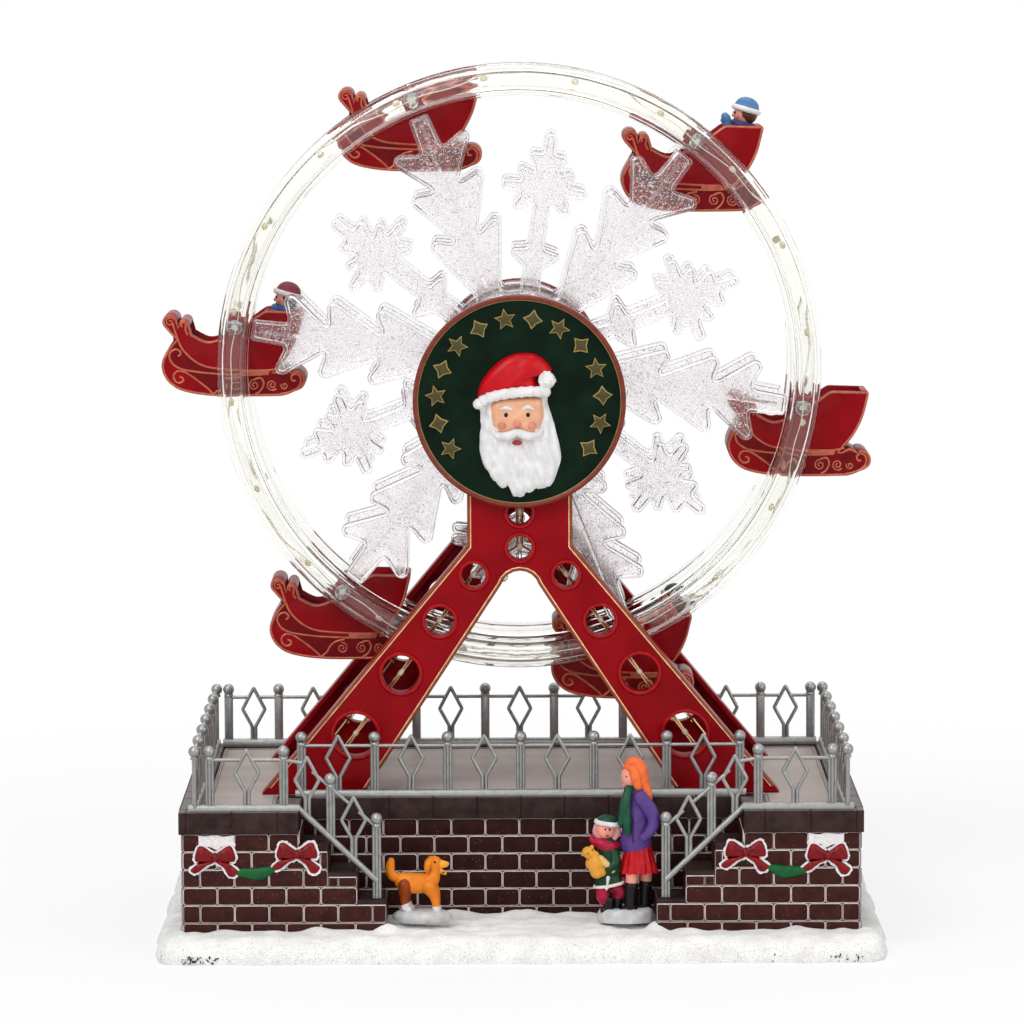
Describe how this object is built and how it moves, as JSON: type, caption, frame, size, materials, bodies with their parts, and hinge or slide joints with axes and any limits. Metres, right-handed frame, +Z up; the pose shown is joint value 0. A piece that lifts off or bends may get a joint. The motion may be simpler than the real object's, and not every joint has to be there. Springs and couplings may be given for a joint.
{
  "type": "musical ferris wheel decoration",
  "caption": "Table-top ferris wheel with two snowflake rings and hanging sleighs, turned by a geared motor in a lit red frame on a fenced brick platform",
  "frame": {"origin": "on the ground under the middle of the snow base", "axes": "+X to the viewer's right, +Y to the back, +Z up"},
  "size_m": [0.276, 0.201, 0.3303],
  "materials": {
    "snow": "white paint with fine sparkle",
    "brick": "dark brown paint with pale grey joints",
    "deck": "warm grey paint",
    "fence": "silver grey paint",
    "clear": "clear plastic",
    "glitter": "clear plastic with silver glitter",
    "wire": "insulated wire and small bulbs",
    "steel": "plain steel",
    "nylon": "natural nylon",
    "red_plastic": "deep red gloss paint with copper trim lines",
    "plaque": "near black green with a copper rim and painted relief",
    "black_plastic": "moulded black",
    "board": "green circuit board",
    "cell": "plain dark sleeve",
    "figure_paint": "hand painted resin",
    "dog_paint": "hand painted resin",
    "bow_paint": "red and green paint with a white edge"
  },
  "bodies": {
    "base": {"snow_base": "snow", "brick_platform": "brick", "right_stair_block": "brick", "left_stair_block": "brick", "deck_plate": "deck", "centre_fence": "fence", "back_fence": "fence", "left_fence": "fence", "right_fence": "fence", "right_stair_fence": "fence", "left_stair_fence": "fence", "front_frame": "red_plastic", "rear_frame": "red_plastic", "front_frame_lights": "wire", "rear_frame_lights": "wire", "santa_plaque": "plaque", "motor_housing": "red_plastic", "gear_motor": "steel", "bottom_cover": "black_plastic", "battery_box": "black_plastic", "battery_door": "black_plastic", "battery_door_screw": "steel", "battery_cell_1": "cell", "battery_cell_2": "cell", "battery_cell_3": "cell", "speaker": "black_plastic", "music_board": "board", "power_switch_body": "black_plastic", "woman_and_child": "figure_paint", "dog": "dog_paint", "right_bow_garland": "bow_paint", "left_bow_garland": "bow_paint"},
    "wheel": {"front_ring": "clear", "rear_ring": "clear", "front_snowflake": "glitter", "rear_snowflake": "glitter", "front_ring_lights": "wire", "rear_ring_lights": "wire", "wheel_hub": "clear", "wheel_axle": "steel", "axle_gear": "nylon", "sleigh_pin_1": "steel", "sleigh_pin_2": "steel", "sleigh_pin_3": "steel", "sleigh_pin_4": "steel", "sleigh_pin_5": "steel", "sleigh_pin_6": "steel"},
    "pinion": {"motor_pinion": "nylon"},
    "switch": {"power_switch_slider": "black_plastic"},
    "sleigh_1_body": {"sleigh_1": "red_plastic", "rider_in_blue_hat": "figure_paint"},
    "sleigh_2_body": {"sleigh_2": "red_plastic"},
    "sleigh_3_body": {"sleigh_3": "red_plastic", "rider_in_blue_scarf": "figure_paint"},
    "sleigh_4_body": {"sleigh_4": "red_plastic"},
    "sleigh_5_body": {"sleigh_5": "red_plastic", "rider_in_green_coat": "figure_paint"},
    "sleigh_6_body": {"sleigh_6": "red_plastic"}
  },
  "joints": [
    {"name": "wheel_spin", "type": "hinge", "parent": "base", "child": "wheel", "pos_m": [0, 0.014, 0.2145], "axis": [0, 1, 0], "continuous": true},
    {"name": "sleigh_1_swing", "type": "hinge", "parent": "wheel", "child": "sleigh_1_body", "pos_m": [0.06818, 0.014, 0.30083], "axis": [0, 1, 0], "continuous": true},
    {"name": "sleigh_2_swing", "type": "hinge", "parent": "wheel", "child": "sleigh_2_body", "pos_m": [-0.04067, 0.014, 0.31671], "axis": [0, 1, 0], "continuous": true},
    {"name": "sleigh_3_swing", "type": "hinge", "parent": "wheel", "child": "sleigh_3_body", "pos_m": [-0.10885, 0.014, 0.23038], "axis": [0, 1, 0], "continuous": true},
    {"name": "sleigh_4_swing", "type": "hinge", "parent": "wheel", "child": "sleigh_4_body", "pos_m": [-0.06818, 0.014, 0.12818], "axis": [0, 1, 0], "continuous": true},
    {"name": "sleigh_5_swing", "type": "hinge", "parent": "wheel", "child": "sleigh_5_body", "pos_m": [0.04067, 0.014, 0.1123], "axis": [0, 1, 0], "continuous": true},
    {"name": "sleigh_6_swing", "type": "hinge", "parent": "wheel", "child": "sleigh_6_body", "pos_m": [0.10885, 0.014, 0.19862], "axis": [0, 1, 0], "continuous": true},
    {"name": "pinion_spin", "type": "hinge", "parent": "base", "child": "pinion", "pos_m": [0, 0.014, 0.1893], "axis": [0, 1, 0], "continuous": true},
    {"name": "power_switch_slide", "type": "slide", "parent": "base", "child": "switch", "axis": [1, 0, 0], "range_m": [0, 0.004]}
  ],
  "couplings": [
    {"joint": "sleigh_1_swing", "follows": "wheel_spin", "ratio": -1},
    {"joint": "sleigh_2_swing", "follows": "wheel_spin", "ratio": -1},
    {"joint": "sleigh_3_swing", "follows": "wheel_spin", "ratio": -1},
    {"joint": "sleigh_4_swing", "follows": "wheel_spin", "ratio": -1},
    {"joint": "sleigh_5_swing", "follows": "wheel_spin", "ratio": -1},
    {"joint": "sleigh_6_swing", "follows": "wheel_spin", "ratio": -1},
    {"joint": "pinion_spin", "follows": "wheel_spin", "ratio": -2.5}
  ]
}
